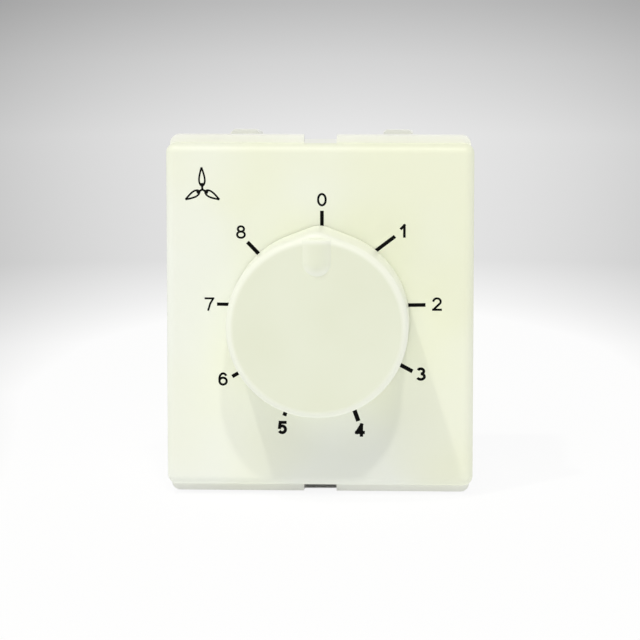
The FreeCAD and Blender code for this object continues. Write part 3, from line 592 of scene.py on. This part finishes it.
def floorTone(tree, look, across, back):   # pale near the object, greyer far off and to the sides
    away = distance(tree, across, back)
    further = calc(tree, "ADD", away, look["nearness"])
    share = calc(tree, "DIVIDE", away, further)
    side = calc(tree, "SUBTRACT", calc(tree, "DIVIDE", across, further), look["sideMiddle"])
    sideways = calc(tree, "MULTIPLY", calc(tree, "MULTIPLY", side, side), look["sideFade"])
    kept = calc(tree, "SUBTRACT", 1.0, calc(tree, "MINIMUM", sideways, look["sideMost"]))
    ramp = tree.nodes.new("ShaderNodeValToRGB")
    while len(ramp.color_ramp.elements) < len(look["tones"]):
        ramp.color_ramp.elements.new(1.0)
    for stop, (position, grey) in zip(ramp.color_ramp.elements, look["tones"]):
        stop.position = position
        stop.color = screenColour(grey, grey, grey)
    tree.links.new(share, ramp.inputs["Fac"])
    tone = calc(tree, "MULTIPLY", ramp.outputs["Color"], kept)
    return calc(tree, "MINIMUM", tone, 1.0)   # never more than white


def pastHousing(tree, across, back, front):   # how far a spot lies outside the housing's outline
    low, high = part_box("housing")
    middle = (front + high.y) / 2
    besides = calc(tree, "SUBTRACT", calc(tree, "ABSOLUTE", across), (high.x - low.x) / 2)
    depth = calc(tree, "ABSOLUTE", calc(tree, "SUBTRACT", back, middle))
    beyond = calc(tree, "SUBTRACT", depth, high.y - middle)
    return calc(tree, "MAXIMUM", besides, beyond)


def blend(tree, share, first, second):   # of two shaders, the second by that share
    mix = tree.nodes.new("ShaderNodeMixShader")
    tree.links.new(share, mix.inputs["Fac"])
    tree.links.new(first, mix.inputs[1])
    tree.links.new(second, mix.inputs[2])
    return mix.outputs["Shader"]


def palePaper(look):
    finish = bpy.data.materials.new("palePaper")
    finish.use_nodes = True
    tree = finish.node_tree
    tree.nodes.clear()
    place = tree.nodes.new("ShaderNodeSeparateXYZ")
    tree.links.new(tree.nodes.new("ShaderNodeTexCoord").outputs["Object"], place.inputs["Vector"])
    across, back = place.outputs["X"], place.outputs["Y"]
    tone = floorTone(tree, look, across, back)
    shown = tree.nodes.new("ShaderNodeEmission")
    tree.links.new(tone, shown.inputs["Color"])
    shaded = tree.nodes.new("ShaderNodeBsdfDiffuse")
    tree.links.new(tone, shaded.inputs["Color"])
    under = pastHousing(tree, across, back, look["underFront"])
    shadow = spread(tree, under, look["underShare"], look["shadowShare"], -look["underEdge"], 0.0)
    seen = blend(tree, shadow, shown.outputs["Emission"], shaded.outputs["BSDF"])
    paper = tree.nodes.new("ShaderNodeBsdfDiffuse")
    paper.inputs["Color"].default_value = (look["bounce"], look["bounce"], look["bounce"], 1)
    table = tree.nodes.new("ShaderNodeEmission")
    outside = pastHousing(tree, across, back, 0.0)
    glow = spread(tree, outside, 0.0, look["tableGlow"], 0.0, look["glowEdge"])
    plain = blend(tree, glow, paper.outputs["BSDF"], table.outputs["Emission"])
    rays = tree.nodes.new("ShaderNodeLightPath")
    direct = calc(tree, "MAXIMUM", rays.outputs["Is Camera Ray"], rays.outputs["Is Glossy Ray"])
    above = blend(tree, direct, plain, seen)
    below = tree.nodes.new("ShaderNodeBsdfTransparent").outputs["BSDF"]   # hides nothing from there
    backfacing = tree.nodes.new("ShaderNodeNewGeometry").outputs["Backfacing"]
    output = tree.nodes.new("ShaderNodeOutputMaterial")
    tree.links.new(blend(tree, backfacing, above, below), output.inputs["Surface"])
    return finish


def layFloor(look):
    reach = look["reach"]
    mesh = bpy.data.meshes.new("floor")
    mesh.from_pydata([(-reach, -reach, floorLevel), (reach, -reach, floorLevel),
                      (reach, reach, floorLevel), (-reach, reach, floorLevel)], [], [(0, 1, 2, 3)])
    floor = bpy.data.objects.new("floor", mesh)
    floor.rotation_euler.z = math.radians(cameraSetup["azimuth"])   # its tones run off along the view
    bpy.context.scene.collection.objects.link(floor)
    mesh.materials.append(palePaper(look))


studioLight = {
    "front": 0.1,                # the room's brightness behind the camera and all round
    "round": 0.89,
    "roomColour": (0.98, 0.985, 1.03),
    "lampColour": (0.995, 0.975, 0.895),
    "frontEdge": -0.4,           # where the dim front ends, as the Y part of the direction
    "overhead": 0.12,            # the share of it that is left straight above, where the lamps are
    "overheadFrom": 0.2,         # where that begins, as the Z part of the direction
    "toRight": 1.25,             # the room is brighter on that side, away from the lamps
    "backdrop": (0.45, 0.9),     # the room as it is seen, at the far floor and higher up
    "paleFrom": 0.25,            # where it is pale, as the Z part of the direction
    "lampDistance": 1.2,         # metres
    "lamps": {
        "lampMiddle": {"from": (0.14, -1.0, 1.3), "size": 0.07, "power": 2.3},
        "lampHigh": {"from": (-0.78, -1.0, 2.6), "size": 0.05, "power": 3.55},
        "lampSoft": {"from": (-0.3, -0.8, 1.0), "size": 0.7, "power": 2.7},
    },
}


def lightRoom(look):
    world = bpy.data.worlds.new("room")
    world.use_nodes = True
    bpy.context.scene.world = world
    tree = world.node_tree
    heading = tree.nodes.new("ShaderNodeSeparateXYZ")
    tree.links.new(tree.nodes.new("ShaderNodeTexCoord").outputs["Generated"], heading.inputs["Vector"])
    level = spread(tree, heading.outputs["Y"], look["front"], look["round"], -1.0, look["frontEdge"])
    above = spread(tree, heading.outputs["Z"], 1.0, look["overhead"], look["overheadFrom"], 1.0)
    rays = tree.nodes.new("ShaderNodeLightPath")
    shown = calc(tree, "MAXIMUM", rays.outputs["Is Camera Ray"], rays.outputs["Is Glossy Ray"])
    rightward = spread(tree, heading.outputs["X"], 1.0, look["toRight"], 0.0, 1.0)
    lit = calc(tree, "MULTIPLY", calc(tree, "MULTIPLY", level, above), rightward)
    lit = calc(tree, "MULTIPLY", lit, calc(tree, "SUBTRACT", 1.0, shown))
    seen = spread(tree, heading.outputs["Z"], *look["backdrop"], 0.0, look["paleFrom"])
    strength = calc(tree, "ADD", lit, calc(tree, "MULTIPLY", shown, seen))
    tree.links.new(strength, tree.nodes["Background"].inputs["Strength"])
    tree.nodes["Background"].inputs["Color"].default_value = (*look["roomColour"], 1)


def hangLamps(look):
    for name, lamp in look["lamps"].items():
        glow = bpy.data.lights.new(name, "AREA")
        glow.shape = "DISK"
        glow.color = look["lampColour"]
        glow.size = lamp["size"]
        glow.energy = lamp["power"]
        holder = bpy.data.objects.new(name, glow)
        away = Vector(lamp["from"]).normalized()
        holder.location = away * look["lampDistance"]
        holder.rotation_euler = (-away).to_track_quat("-Z", "Y").to_euler()
        bpy.context.scene.collection.objects.link(holder)


layFloor(floorLook)
lightRoom(studioLight)
hangLamps(studioLight)
bpy.context.scene.view_settings.view_transform = "Standard"
print("floor and light set")
